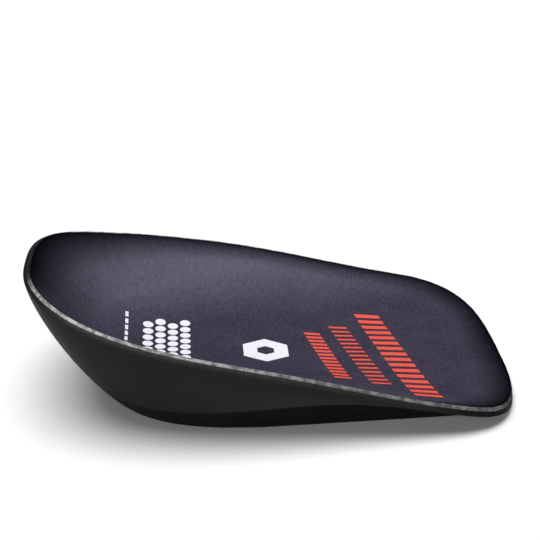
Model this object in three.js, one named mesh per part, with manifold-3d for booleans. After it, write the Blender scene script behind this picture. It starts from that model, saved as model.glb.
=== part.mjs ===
// A heel cup: a black gel cup that stands in a shoe and holds the heel, with a thin cloth cover bonded inside it.
// Millimetres, +Z up. +X runs from the heel to the toe edge, and the sole stands on z = 0.

import * as THREE from "three";
import { mergeVertices } from "three/addons/utils/BufferGeometryUtils.js";
import Module from "manifold-3d";

const wasm = await Module();
wasm.setup();

// Overall sizes
const CUP_LENGTH = 101;
const CUP_WIDTH = 68.2;
const HEEL_HEIGHT = 29.7;

// Layers, from the inside of the cup outwards
const COVER_THICKNESS = 1.0;
const BOND_GAP = 0.3;
const LIP_THICKNESS = 0.8;
const HEEL_PAD = 5.7;
const TOE_PAD = 0.9;

// The flat sole lies inside the cup's outline by these lengths
const SOLE_HEEL_INSET = 17;
const SOLE_SIDE_INSET = 8.3;
const SOLE_TOE_INSET = 0.9;

// The upright band round the sole, its slope outwards, and the height of the lip's lower edge at the toe
const BAND_HEIGHT = 4.7;
const BAND_DRAFT = 0.5;
const TOE_BEVEL = 0.3;

// The round pits in the sole, their studs and the channels that join them
const PIT_DIAMETER = 7.9;
const PIT_WEB = 0.55;
const PIT_DEPTH = 0.8;
const PIT_TAPER = 0.25;
const PIT_HEEL_MARGIN = 6.5;
const PIT_TOE_MARGIN = 17;
const PIT_SIDE_MARGIN = 3;
const STUD_DIAMETER = 3.6;
const STUD_RECESS = 0.15;
const CHANNEL_WIDTH = 1.3;
const CHANNEL_DEPTH = 0.45;

// How far a cutter starts outside the face that it cuts
const CUT_START = 1;

// Pits left out at the heel end of each row, from the middle row outwards
const PITS_LEFT_OUT = [0, 0, 2];

// The rim along the cup. station: share of the length. rise: share of the drop from heel to toe.
// lean: the slope of the cloth at the rim, in degrees. lip, band: shares of the lip's thickness and band's height.
// sag: how far the wall over the band hangs below a straight line, as a power.
const RIM = [
  { station: 0, rise: 1, lean: 66, lip: 0.5, band: 1, sag: 1 },
  { station: 0.12, rise: 0.84, lean: 62, lip: 0.55, band: 1, sag: 1 },
  { station: 0.25, rise: 0.714, lean: 54, lip: 0.6, band: 1, sag: 1 },
  { station: 0.5, rise: 0.502, lean: 42, lip: 0.8, band: 1, sag: 1.15 },
  { station: 0.75, rise: 0.248, lean: 28, lip: 1, band: 0.76, sag: 1.7 },
  { station: 0.88, rise: 0.131, lean: 17, lip: 1, band: 0.34, sag: 1.7 },
  { station: 1, rise: 0, lean: 3, lip: 0.9, band: 0.06, sag: 1 },
];

// The gel under the cloth along the middle. pad: share of the difference between the heel pad and the toe pad.
const PAD = [
  { station: 0, pad: 1.06 },
  { station: 0.28, pad: 1 },
  { station: 0.49, pad: 0.64 },
  { station: 0.64, pad: 0.4 },
  { station: 0.79, pad: 0.24 },
  { station: 0.9, pad: 0.13 },
  { station: 1, pad: 0 },
];

// Plan outlines, round at the heel and squarer at the toe. widest: share of the length, from the heel.
const RIM_PLAN = { widest: 0.56, heelPower: 2.64, heelRoot: 2.8, toePower: 8.2, toeRoot: 2.95 };
const SOLE_PLAN = { widest: 0.5, heelPower: 3.1, heelRoot: 2.4, toePower: 9, toeRoot: 3.6 };

// The heel's outer wall is a bowl, and these powers set how full it is at the foot and at the lip.
// It gives way to the upright band between the two stations.
const BOWL = { footPower: 1.2, lipPower: 1.32, fromStation: 0.18, toStation: 0.55 };

// The middle line, which the floor of the cup falls to, as shares of the length
const MIDDLE = { from: 0.3, to: 0.8 };

// The cloth's slope is shared out by a power of the way to the rim, kept between these two.
const BASIN_POWERS = { least: 2, most: 6 };

const AROUND = 60;
const FLOOR_SHARES = [0.3, 0.52, 0.68, 0.79, 0.87, 0.94, 1];
const BAND_STEPS = 2;
const WALL_STEPS = 5;
const PIT_SIDES = 16;
const STUD_SIDES = 10;
const STUD_STEPS = 2;
const MERGE_WITHIN = 1e-4;
const NUDGE = 1e-3;

const HALF_TURN = Math.PI;
const RIGHT_ANGLE = Math.PI / 2;
const coverStack = COVER_THICKNESS + BOND_GAP;
const toeHeight = TOE_BEVEL + LIP_THICKNESS * RIM[RIM.length - 1].lip + coverStack;
const pitPitch = PIT_DIAMETER + PIT_WEB;

const mix = THREE.MathUtils.lerp;
const clamp = THREE.MathUtils.clamp;

// Reads a table at a station, with a smooth curve through its rows.
function readTable(table, column, station) {
  const last = table.length - 1;
  let row = 0;
  while (row < last - 1 && station > table[row + 1].station) row += 1;
  const run = table[row + 1].station - table[row].station;
  const change = (from, to) =>
    ((table[to][column] - table[from][column]) / (table[to].station - table[from].station)) * run;
  const share = clamp((station - table[row].station) / run, 0, 1);
  const start = table[row][column];
  const end = table[row + 1][column];
  const leaving = change(Math.max(row - 1, 0), row + 1);
  const arriving = change(row, Math.min(row + 2, last));
  const square = share ** 2;
  const cube = share ** 3;
  return (
    start * (2 * cube - 3 * square + 1) +
    leaving * (cube - 2 * square + share) +
    end * (3 * square - 2 * cube) +
    arriving * (cube - square)
  );
}

// Half the width of a plan outline at a share of its length
function halfWidth(plan, width, share) {
  const towardsHeel = share < plan.widest;
  const run = towardsHeel ? plan.widest : 1 - plan.widest;
  const power = towardsHeel ? plan.heelPower : plan.toePower;
  const root = towardsHeel ? plan.heelRoot : plan.toeRoot;
  const away = Math.abs(share - plan.widest) / run;
  return (width / 2) * Math.max(0, 1 - away ** power) ** (1 / root);
}

// A turn round the cup starts at the heel, runs along the left side to the toe at half a turn, and comes back.
const stationAt = (turn) => (1 - Math.cos(turn)) / 2;

function planPoint(plan, width, from, to, turn) {
  const share = stationAt(turn);
  const side = Math.sign(Math.sin(turn));
  return new THREE.Vector3(mix(from, to, share), side * halfWidth(plan, width, share), 0);
}

const lipPlan = (turn) => planPoint(RIM_PLAN, CUP_WIDTH, 0, CUP_LENGTH, turn);

const solePlan = (turn) =>
  planPoint(
    SOLE_PLAN,
    CUP_WIDTH - 2 * SOLE_SIDE_INSET,
    SOLE_HEEL_INSET,
    CUP_LENGTH - SOLE_TOE_INSET,
    turn,
  );

// The point of the middle line that faces a place round the cup
function middlePlan(turn) {
  const away = Math.acos(Math.cos(turn)) / HALF_TURN;
  return new THREE.Vector3(CUP_LENGTH * mix(MIDDLE.from, MIDDLE.to, away), 0, 0);
}

const rimShare = (turn, column) => readTable(RIM, column, stationAt(turn));
const rimHeight = (turn) => mix(toeHeight, HEEL_HEIGHT, rimShare(turn, "rise"));
const lean = (turn) => THREE.MathUtils.degToRad(rimShare(turn, "lean"));
const lipThickness = (turn) => LIP_THICKNESS * rimShare(turn, "lip");

// Which way is out of the cloth at the rim: up at the toe, and inwards where the wall stands steep
function rimNormal(turn) {
  const along = lipPlan(turn + NUDGE).sub(lipPlan(turn - NUDGE));
  const inwards = new THREE.Vector3(along.y, -along.x, 0).normalize();
  return inwards.multiplyScalar(Math.sin(lean(turn))).setZ(Math.cos(lean(turn)));
}

// The outermost edge of the cup, under the lip
function lipEdge(turn) {
  const layers = lipThickness(turn) + coverStack;
  return lipPlan(turn).setZ(rimHeight(turn) - layers * Math.cos(lean(turn)));
}

// The upper edge of the cloth, which stands off the outermost edge by the thickness of the layers
const clothEdge = (turn) =>
  lipEdge(turn).addScaledVector(rimNormal(turn), lipThickness(turn) + coverStack);

// Height of the cloth over the middle line
function floorHeight(x) {
  const pad = readTable(PAD, "pad", clamp(x / CUP_LENGTH, 0, 1));
  return coverStack + mix(TOE_PAD, HEEL_PAD, pad);
}

// The upper face of the cloth, from the middle line at share 0 to the rim at share 1
function clothPoint(turn, share) {
  const edge = clothEdge(turn);
  const middle = middlePlan(turn);
  const rise = edge.z - floorHeight(edge.x);
  const reach = Math.hypot(edge.x - middle.x, edge.y);
  const steepness = (Math.tan(lean(turn)) * reach) / rise;
  const power = clamp(steepness, BASIN_POWERS.least, BASIN_POWERS.most);
  const point = middle.lerp(edge, share);
  return point.setZ(floorHeight(point.x) + rise * share ** power);
}

// Which way is out of the cloth's upper face
function clothNormal(turn, share) {
  if (share === 1) return rimNormal(turn);
  if (share === 0) {
    const { x } = middlePlan(turn);
    const fall = floorHeight(x - NUDGE) - floorHeight(x + NUDGE);
    return new THREE.Vector3(fall, 0, 2 * NUDGE).normalize();
  }
  const round = clothPoint(turn + NUDGE, share).sub(clothPoint(turn - NUDGE, share));
  const out = clothPoint(turn, share + NUDGE).sub(clothPoint(turn, share - NUDGE));
  return round.cross(out).normalize();
}

const underCloth = (turn, share, depth) =>
  clothPoint(turn, share).addScaledVector(clothNormal(turn, share), -depth);

// The upright band's share of the wall's height
const bandShare = (turn) => Math.min((BAND_HEIGHT * rimShare(turn, "band")) / lipEdge(turn).z, 0.6);

// The gel's outer wall, from the sole at rise 0 to the lip at rise 1
function wallPoint(turn, rise) {
  const foot = solePlan(turn);
  const lip = lipEdge(turn);
  const band = bandShare(turn);
  const draft = (BAND_DRAFT * Math.min(rise / band, 1)) / Math.hypot(lip.x - foot.x, lip.y - foot.y);
  const above = (Math.max(rise - band, 0) / (1 - band)) ** (1 / rimShare(turn, "sag"));
  const banded = mix(draft, 1, above);
  const bowl = (1 - (1 - rise) ** BOWL.lipPower) ** (1 / BOWL.footPower);
  const sideways = THREE.MathUtils.smoothstep(stationAt(turn), BOWL.fromStation, BOWL.toStation);
  return foot.lerp(lip, mix(bowl, banded, sideways)).setZ(lip.z * rise);
}

// The rises at which the wall has a ring of points: up the band, then up to just under the lip
function wallRise(turn, level) {
  const band = bandShare(turn);
  if (level <= BAND_STEPS) return (band * level) / BAND_STEPS;
  return mix(band, 1, (level - BAND_STEPS) / WALL_STEPS);
}

const ring = (point) =>
  Array.from({ length: AROUND }, (_, place) => point((2 * HALF_TURN * place) / AROUND));

// A closed skin through rings of points. The first and last rings are folded flat along the middle line.
function skin(rings) {
  const corners = [];
  for (let level = 1; level < rings.length; level += 1) {
    for (let place = 0; place < AROUND; place += 1) {
      const next = (place + 1) % AROUND;
      const [a, b] = [rings[level - 1][place], rings[level - 1][next]];
      const [c, d] = [rings[level][next], rings[level][place]];
      corners.push(a, b, c, a, c, d);
    }
  }
  return new THREE.BufferGeometry().setFromPoints(corners);
}

// A closed geometry as a solid that can be cut and joined
function solidOf(geometry) {
  const bare = geometry.clone();
  bare.deleteAttribute("normal");
  bare.deleteAttribute("uv");
  const merged = mergeVertices(bare, MERGE_WITHIN);
  const index = merged.index.array;
  const corners = [];
  for (let first = 0; first < index.length; first += 3) {
    const [a, b, c] = [index[first], index[first + 1], index[first + 2]];
    if (a !== b && b !== c && c !== a) corners.push(a, b, c);
  }
  const mesh = new wasm.Mesh({
    numProp: 3,
    vertProperties: merged.attributes.position.array,
    triVerts: new Uint32Array(corners),
  });
  return new wasm.Manifold(mesh);
}

// A solid as the geometry of a mesh
function geometryOf(solid) {
  const mesh = solid.getMesh();
  const geometry = new THREE.BufferGeometry();
  geometry.setAttribute("position", new THREE.BufferAttribute(mesh.vertProperties, 3));
  geometry.setIndex(new THREE.BufferAttribute(mesh.triVerts, 1));
  geometry.computeVertexNormals();
  return geometry;
}

// The cloth cover: its upper face, its cut edge and its lower face
function coverSolid() {
  const shares = [0, ...FLOOR_SHARES];
  const upper = shares.map((share) => ring((turn) => clothPoint(turn, share)));
  const lower = shares.map((share) => ring((turn) => underCloth(turn, share, COVER_THICKNESS)));
  return solidOf(skin([...upper, ...lower.reverse()]));
}

// The gel before its sole is cut: the bed under the cloth, the lip, the outer wall and the flat sole
function gelBlank() {
  const bed = [0, ...FLOOR_SHARES].map((share) => ring((turn) => underCloth(turn, share, coverStack)));
  const wall = [ring(lipEdge)];
  for (let level = BAND_STEPS + WALL_STEPS - 1; level > 0; level -= 1) {
    wall.push(ring((turn) => wallPoint(turn, wallRise(turn, level))));
  }
  return solidOf(skin([...bed, ...wall, ring(solePlan), ring(middlePlan)]));
}

// The pits' centres, column by column from the heel, in rows out from the middle
function pitPlaces() {
  const first = SOLE_HEEL_INSET + PIT_HEEL_MARGIN;
  const last = CUP_LENGTH - PIT_TOE_MARGIN;
  const columns = Math.floor((last - first) / pitPitch) + 1;
  const sideRoom = CUP_WIDTH / 2 - SOLE_SIDE_INSET - PIT_SIDE_MARGIN - PIT_DIAMETER / 2;
  const sideRows = Math.min(Math.floor(sideRoom / pitPitch), PITS_LEFT_OUT.length - 1);
  const places = [];
  for (let column = 0; column < columns; column += 1) {
    for (let row = -sideRows; row <= sideRows; row += 1) {
      if (column < PITS_LEFT_OUT[Math.abs(row)]) continue;
      const joined = row < sideRows && column >= PITS_LEFT_OUT[Math.abs(row + 1)];
      places.push({ x: first + column * pitPitch, y: row * pitPitch, joined });
    }
  }
  return places;
}

// What one pit takes away: a tapered disc, less the round stud that stands in it
function pitCutter() {
  const floorRadius = PIT_DIAMETER / 2 - PIT_TAPER;
  const startRadius = PIT_DIAMETER / 2 + (PIT_TAPER * CUT_START) / PIT_DEPTH;
  const disc = new THREE.CylinderGeometry(floorRadius, startRadius, PIT_DEPTH + CUT_START, PIT_SIDES);
  disc.rotateX(RIGHT_ANGLE);
  disc.translate(0, 0, (PIT_DEPTH - CUT_START) / 2);
  return solidOf(disc).subtract(solidOf(studDome()));
}

// The stud of a pit: a dome under a short root that reaches into the gel
function studDome() {
  const radius = STUD_DIAMETER / 2;
  const root = PIT_DEPTH + CUT_START;
  const profile = [new THREE.Vector2(0, root), new THREE.Vector2(radius, root)];
  for (let step = 0; step <= STUD_STEPS; step += 1) {
    const angle = (RIGHT_ANGLE * step) / STUD_STEPS;
    const height = PIT_DEPTH - (PIT_DEPTH - STUD_RECESS) * Math.sin(angle);
    profile.push(new THREE.Vector2(radius * Math.cos(angle), height));
  }
  return new THREE.LatheGeometry(profile.reverse(), STUD_SIDES).rotateX(RIGHT_ANGLE);
}

// What the short channel between a pit and the next one across the sole takes away
function channelCutter() {
  const length = PIT_WEB + 2 * PIT_TAPER + CHANNEL_WIDTH / 2;
  const channel = new THREE.BoxGeometry(CHANNEL_WIDTH, length, CHANNEL_DEPTH + CUT_START);
  channel.translate(0, pitPitch / 2, (CHANNEL_DEPTH - CUT_START) / 2);
  return solidOf(channel);
}

function gelSolid() {
  const pit = pitCutter();
  const channel = channelCutter();
  const cutters = [];
  for (const { x, y, joined } of pitPlaces()) {
    cutters.push(pit.translate([x, y, 0]));
    if (joined) cutters.push(channel.translate([x, y, 0]));
  }
  return gelBlank().subtract(wasm.Manifold.union(cutters));
}

const gelMaterial = new THREE.MeshStandardMaterial({ color: 0x1a1b1d, roughness: 0.35, metalness: 0 });
const clothMaterial = new THREE.MeshStandardMaterial({ color: 0x3d3849, roughness: 0.9, metalness: 0 });

const heelCup = new THREE.Group();

function addPiece(name, solid, material) {
  const piece = new THREE.Mesh(geometryOf(solid), material);
  piece.name = name;
  piece.position.x = -CUP_LENGTH / 2;
  heelCup.add(piece);
}

addPiece("gel_cup", gelSolid(), gelMaterial);
addPiece("top_cover", coverSolid(), clothMaterial);

export default heelCup;
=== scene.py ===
"""Dresses the heel cup: a moulded black gel cup with a pitted sole, and a cloth cover bonded inside it.

Metres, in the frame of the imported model: +X from the heel to the toe edge, +Z up, and the sole on z = 0.
"""

import logging
import math
from dataclasses import dataclass
from enum import Enum

import bmesh
import bpy
import numpy as np
from mathutils import Matrix, Vector, noise


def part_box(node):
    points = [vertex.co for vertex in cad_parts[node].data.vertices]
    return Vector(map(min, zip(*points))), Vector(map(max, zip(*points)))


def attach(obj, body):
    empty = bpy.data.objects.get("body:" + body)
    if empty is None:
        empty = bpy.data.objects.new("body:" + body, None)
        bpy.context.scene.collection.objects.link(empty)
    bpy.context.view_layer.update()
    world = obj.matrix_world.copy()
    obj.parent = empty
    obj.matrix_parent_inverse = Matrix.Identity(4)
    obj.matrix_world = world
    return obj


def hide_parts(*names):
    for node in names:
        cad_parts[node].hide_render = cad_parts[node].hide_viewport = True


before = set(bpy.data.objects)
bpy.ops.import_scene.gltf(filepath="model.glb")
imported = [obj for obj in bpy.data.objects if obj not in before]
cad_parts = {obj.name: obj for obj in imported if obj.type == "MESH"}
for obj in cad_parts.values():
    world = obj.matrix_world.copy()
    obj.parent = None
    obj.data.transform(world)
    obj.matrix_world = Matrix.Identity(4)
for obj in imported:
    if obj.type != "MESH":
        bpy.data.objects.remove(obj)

MM = 0.001
ROOT = "root"
MERGE_WITHIN = 1e-6
NUDGE = 1e-4
Colour = tuple[float, float, float, float]
Pairs = tuple[tuple[float, float], ...]
Socket = bpy.types.NodeSocket
BLACK: Colour = (0, 0, 0, 1)
log = logging.getLogger("heel_cup")


@dataclass(frozen=True)
class RimStation:
    """One row of the rim's table, with its lengths as shares of the cup's named sizes."""

    station: float
    rise: float
    lean: float
    lip: float
    band: float
    sag: float


@dataclass(frozen=True)
class PadStation:
    """One row of the table of gel under the cloth along the middle."""

    station: float
    pad: float


@dataclass(frozen=True)
class PlanCurve:
    """Powers of a plan outline that is round at the heel and squarer at the toe."""

    widest: float
    heel_power: float
    heel_root: float
    toe_power: float
    toe_root: float

    def half_width(self, width: float, share: np.ndarray) -> np.ndarray:
        """Half the outline's width at shares of its length.

        Args:
            width: The outline's full width.
            share: Shares of the length, from the heel.

        Returns:
            Half widths, in the unit of width.
        """
        heelward = share < self.widest
        run = np.where(heelward, self.widest, 1 - self.widest)
        power = np.where(heelward, self.heel_power, self.toe_power)
        root = np.where(heelward, self.heel_root, self.toe_root)
        away = np.abs(share - self.widest) / run
        return width / 2 * np.maximum(0, 1 - away**power) ** (1 / root)


RIM = (
    RimStation(station=0, rise=1, lean=66, lip=0.5, band=1, sag=1),
    RimStation(station=0.12, rise=0.84, lean=62, lip=0.55, band=1, sag=1),
    RimStation(station=0.25, rise=0.714, lean=54, lip=0.6, band=1, sag=1),
    RimStation(station=0.5, rise=0.502, lean=42, lip=0.8, band=1, sag=1.15),
    RimStation(station=0.75, rise=0.248, lean=28, lip=1, band=0.76, sag=1.7),
    RimStation(station=0.88, rise=0.131, lean=17, lip=1, band=0.34, sag=1.7),
    RimStation(station=1, rise=0, lean=3, lip=0.9, band=0.06, sag=1),
)
PAD = (
    PadStation(station=0, pad=1.06),
    PadStation(station=0.28, pad=1),
    PadStation(station=0.49, pad=0.64),
    PadStation(station=0.64, pad=0.4),
    PadStation(station=0.79, pad=0.24),
    PadStation(station=0.9, pad=0.13),
    PadStation(station=1, pad=0),
)


def read_table(table: tuple, column: str, station: np.ndarray) -> np.ndarray:
    """Reads a column of a table with a smooth curve through its rows.

    Args:
        table: Rows that have a station and the column.
        column: Name of the column.
        station: Shares of the cup's length.

    Returns:
        The column's values at the stations.
    """
    stations = np.array([row.station for row in table], dtype=float)
    values = np.array([getattr(row, column) for row in table], dtype=float)
    last = len(table) - 1
    row = np.clip(np.searchsorted(stations, station) - 1, 0, last - 1)
    run = stations[row + 1] - stations[row]

    def change(start: np.ndarray, end: np.ndarray) -> np.ndarray:
        """Slope between two rows, for one row's run."""
        return (values[end] - values[start]) / (stations[end] - stations[start]) * run

    share = np.clip((station - stations[row]) / run, 0, 1)
    leaving = change(np.maximum(row - 1, 0), row + 1)
    arriving = change(row, np.minimum(row + 2, last))
    square, cube = share**2, share**3
    return (
        values[row] * (2 * cube - 3 * square + 1)
        + leaving * (cube - 2 * square + share)
        + values[row + 1] * (3 * square - 2 * cube)
        + arriving * (cube - square)
    )


def mix(start: float, end: float, share: float) -> float:
    """A value part of the way from start to end."""
    return start + (end - start) * share


def unit(vectors: np.ndarray) -> np.ndarray:
    """Vectors of length one, along the last axis."""
    return vectors / np.maximum(np.linalg.norm(vectors, axis=-1, keepdims=True), 1e-12)


@dataclass(frozen=True)
class CupShape:
    """The cup's surfaces, worked out for places round the cup.

    A turn starts at the heel, runs along the left side to the toe at half a turn, and comes back.
    """

    length: float
    width: float
    heel_height: float
    cover_thickness: float = 1.0 * MM
    bond_gap: float = 0.3 * MM
    lip_thickness: float = 0.8 * MM
    heel_pad: float = 5.7 * MM
    toe_pad: float = 0.9 * MM
    sole_heel_inset: float = 17 * MM
    sole_side_inset: float = 8.3 * MM
    sole_toe_inset: float = 0.9 * MM
    band_height: float = 4.7 * MM
    band_draft: float = 0.5 * MM
    toe_bevel: float = 0.3 * MM
    rim_plan: PlanCurve = PlanCurve(0.56, 2.64, 2.8, 8.2, 2.95)
    sole_plan: PlanCurve = PlanCurve(0.5, 3.1, 2.4, 9, 3.6)
    bowl_foot_power: float = 1.2
    bowl_lip_power: float = 1.32
    bowl_stations: tuple[float, float] = (0.18, 0.55)
    middle_stations: tuple[float, float] = (0.3, 0.8)
    basin_powers: tuple[float, float] = (2, 6)
    most_band_share: float = 0.6

    @classmethod
    def from_frame(cls) -> "CupShape":
        """The cup's shape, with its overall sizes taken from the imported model.

        Returns:
            The shape.
        """
        low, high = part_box("gel_cup")
        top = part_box("top_cover")[1][2]
        return cls(length=high[0] - low[0], width=high[1] - low[1], heel_height=top)

    @property
    def cover_stack(self) -> float:
        """Thickness of the cloth with the space for its bond."""
        return self.cover_thickness + self.bond_gap

    @property
    def toe_height(self) -> float:
        """Height of the cloth's upper edge at the toe."""
        return self.toe_bevel + self.lip_thickness * RIM[-1].lip + self.cover_stack

    def even_turns(self, count: int) -> np.ndarray:
        """Turns that lie evenly along the rim.

        Args:
            count: How many places round the cup.

        Returns:
            The turns, from the heel.
        """
        fine = np.linspace(0, 2 * math.pi, 40 * count + 1)
        steps = np.linalg.norm(np.diff(self.lip_plan(fine), axis=0), axis=1)
        along = np.concatenate([[0], np.cumsum(steps)])
        return np.interp(np.arange(count) / count * along[-1], along, fine)

    def station(self, turn: np.ndarray) -> np.ndarray:
        """Share of the length at each turn."""
        return (1 - np.cos(turn)) / 2

    def _plan(
        self, curve: PlanCurve, width: float, start: float, end: float, turn: np.ndarray
    ) -> np.ndarray:
        """Points of a plan outline on z = 0.

        Args:
            curve: The outline's powers.
            width: Its full width.
            start: Where it starts, from the cup's heel.
            end: Where it ends, from the cup's heel.
            turn: Places round the cup.

        Returns:
            One point for each turn.
        """
        share = self.station(turn)
        x = mix(start, end, share) - self.length / 2
        y = np.sign(np.sin(turn)) * curve.half_width(width, share)
        return np.stack([x, y, np.zeros_like(x)], axis=-1)

    def lip_plan(self, turn: np.ndarray) -> np.ndarray:
        """The cup's outermost line, in plan."""
        return self._plan(self.rim_plan, self.width, 0, self.length, turn)

    def sole_outline(self, turn: np.ndarray) -> np.ndarray:
        """The edge of the flat sole.

        Args:
            turn: Places round the cup.

        Returns:
            One point for each turn.
        """
        width = self.width - 2 * self.sole_side_inset
        end = self.length - self.sole_toe_inset
        return self._plan(self.sole_plan, width, self.sole_heel_inset, end, turn)

    def middle(self, turn: np.ndarray) -> np.ndarray:
        """The point of the middle line that faces each place round the cup.

        Args:
            turn: Places round the cup.

        Returns:
            One point for each turn.
        """
        away = np.arccos(np.clip(np.cos(turn), -1, 1)) / math.pi
        x = self.length * (mix(*self.middle_stations, away) - 0.5)
        return np.stack([x, np.zeros_like(x), np.zeros_like(x)], axis=-1)

    def rim(self, turn: np.ndarray, column: str) -> np.ndarray:
        """A column of the rim's table round the cup."""
        return read_table(RIM, column, self.station(turn))

    def rim_normal(self, turn: np.ndarray) -> np.ndarray:
        """Which way is out of the cloth at the rim.

        Args:
            turn: Places round the cup.

        Returns:
            A direction for each turn.
        """
        along = self.lip_plan(turn + NUDGE) - self.lip_plan(turn - NUDGE)
        inwards = unit(np.stack([along[:, 1], -along[:, 0], np.zeros(len(turn))], axis=-1))
        lean = np.radians(self.rim(turn, "lean"))[:, None]
        return inwards * np.sin(lean) + np.array([0, 0, 1]) * np.cos(lean)

    def lip_edge(self, turn: np.ndarray) -> np.ndarray:
        """The outermost edge of the cup, under the lip.

        Args:
            turn: Places round the cup.

        Returns:
            One point for each turn.
        """
        lean = np.radians(self.rim(turn, "lean"))
        height = mix(self.toe_height, self.heel_height, self.rim(turn, "rise"))
        layers = self.lip_thickness * self.rim(turn, "lip") + self.cover_stack
        points = self.lip_plan(turn)
        points[:, 2] = height - layers * np.cos(lean)
        return points

    def cloth_edge(self, turn: np.ndarray) -> np.ndarray:
        """The upper edge of the cloth."""
        layers = self.lip_thickness * self.rim(turn, "lip") + self.cover_stack
        return self.lip_edge(turn) + self.rim_normal(turn) * layers[:, None]

    def floor_height(self, x: np.ndarray) -> np.ndarray:
        """Height of the cloth over the middle line."""
        pad = read_table(PAD, "pad", np.clip(x / self.length + 0.5, 0, 1))
        return self.cover_stack + mix(self.toe_pad, self.heel_pad, pad)

    def cloth_point(self, turn: np.ndarray, share: float) -> np.ndarray:
        """The upper face of the cloth.

        Args:
            turn: Places round the cup.
            share: The way from the middle line, 0, to the rim, 1.

        Returns:
            One point for each turn.
        """
        edge = self.cloth_edge(turn)
        middle = self.middle(turn)
        rise = edge[:, 2] - self.floor_height(edge[:, 0])
        reach = np.linalg.norm((edge - middle)[:, :2], axis=1)
        steepness = np.tan(np.radians(self.rim(turn, "lean"))) * reach / rise
        points = mix(middle, edge, share)
        power = np.clip(steepness, *self.basin_powers)
        points[:, 2] = self.floor_height(points[:, 0]) + rise * share**power
        return points

    def cloth_normal(self, turn: np.ndarray, share: float) -> np.ndarray:
        """Which way is out of the cloth's upper face.

        Args:
            turn: Places round the cup.
            share: The way from the middle line, 0, to the rim, 1.

        Returns:
            A direction for each turn.
        """
        if share >= 1:
            return self.rim_normal(turn)
        if share <= 0:
            x = self.middle(turn)[:, 0]
            fall = self.floor_height(x - NUDGE) - self.floor_height(x + NUDGE)
            return unit(np.stack([fall, np.zeros_like(x), np.full_like(x, 2 * NUDGE)], axis=-1))
        around = self.cloth_point(turn + NUDGE, share) - self.cloth_point(turn - NUDGE, share)
        out = self.cloth_point(turn, share + NUDGE) - self.cloth_point(turn, share - NUDGE)
        return unit(np.cross(around, out))

    def under_cloth(self, turn: np.ndarray, share: float, depth: float) -> np.ndarray:
        """Points at a depth under the CAD cloth's upper face."""
        return self.cloth_point(turn, share) - self.cloth_normal(turn, share) * depth

    def wall_point(self, turn: np.ndarray, rise: np.ndarray) -> np.ndarray:
        """The gel's outer wall.

        Args:
            turn: Places round the cup.
            rise: Shares of the wall's height, from the sole, one for each turn.

        Returns:
            One point for each turn.
        """
        foot, lip = self.sole_outline(turn), self.lip_edge(turn)
        band = self.band_share(turn)
        draft = self.band_draft * np.minimum(rise / band, 1) / np.linalg.norm((lip - foot)[:, :2], axis=1)
        above = (np.maximum(rise - band, 0) / (1 - band)) ** (1 / self.rim(turn, "sag"))
        bowl = (1 - (1 - rise) ** self.bowl_lip_power) ** (1 / self.bowl_foot_power)
        start, end = self.bowl_stations
        ease = np.clip((self.station(turn) - start) / (end - start), 0, 1)
        out = mix(bowl, mix(draft, 1, above), ease**2 * (3 - 2 * ease))
        points = mix(foot, lip, out[:, None])
        points[:, 2] = lip[:, 2] * rise
        return points

    def band_share(self, turn: np.ndarray) -> np.ndarray:
        """The upright band's share of the wall's height."""
        height = self.band_height * self.rim(turn, "band")
        return np.minimum(height / self.lip_edge(turn)[:, 2], self.most_band_share)


def skin(rings: list[np.ndarray]) -> tuple[np.ndarray, list[tuple[int, int, int, int]]]:
    """Quads between closed rings of points.

    Args:
        rings: Rings with as many points each.

    Returns:
        The points, and the quads as indices, ring by ring.
    """
    count = len(rings[0])
    quads = []
    for level in range(1, len(rings)):
        for place in range(count):
            following = (place + 1) % count
            before, after = (level - 1) * count, level * count
            quads.append((before + place, before + following, after + following, after + place))
    return np.concatenate(rings), quads


def soften(rings: list[np.ndarray], passes: int) -> list[np.ndarray]:
    """Rounds a profile's corners by drawing each ring towards its two neighbours.

    Args:
        rings: Rings in order along the profile. The first and the last stay.
        passes: How many times.

    Returns:
        The rounded rings.
    """
    stack = np.stack(rings)
    for _ in range(passes):
        stack[1:-1] = (stack[:-2] + 2 * stack[1:-1] + stack[2:]) / 4
    return list(stack)


def new_object(name: str, data: bpy.types.ID, *materials: bpy.types.Material) -> bpy.types.Object:
    """Puts a mesh, a light or the camera in the scene, at the origin.

    Args:
        name: The object's name.
        data: Its mesh or other data.
        materials: A mesh's materials, slot by slot.

    Returns:
        The new object.
    """
    piece = bpy.data.objects.new(name, data)
    bpy.context.scene.collection.objects.link(piece)
    for material in materials:
        data.materials.append(material)
    return piece


def apply_modifiers(piece: bpy.types.Object) -> None:
    """Turns the result of a piece's modifiers into its plain mesh.

    Args:
        piece: The piece, whose modifiers are removed.
    """
    evaluated = piece.evaluated_get(bpy.context.evaluated_depsgraph_get())
    mesh = bpy.data.meshes.new_from_object(evaluated)
    piece.modifiers.clear()
    old = piece.data
    piece.data = mesh
    bpy.data.meshes.remove(old)


def paint(mesh: bpy.types.Mesh, name: str, values: np.ndarray) -> None:
    """Gives every point of a mesh a value that its material reads by name."""
    mesh.attributes.new(name, "FLOAT", "POINT").data.foreach_set("value", values.ravel())


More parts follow.
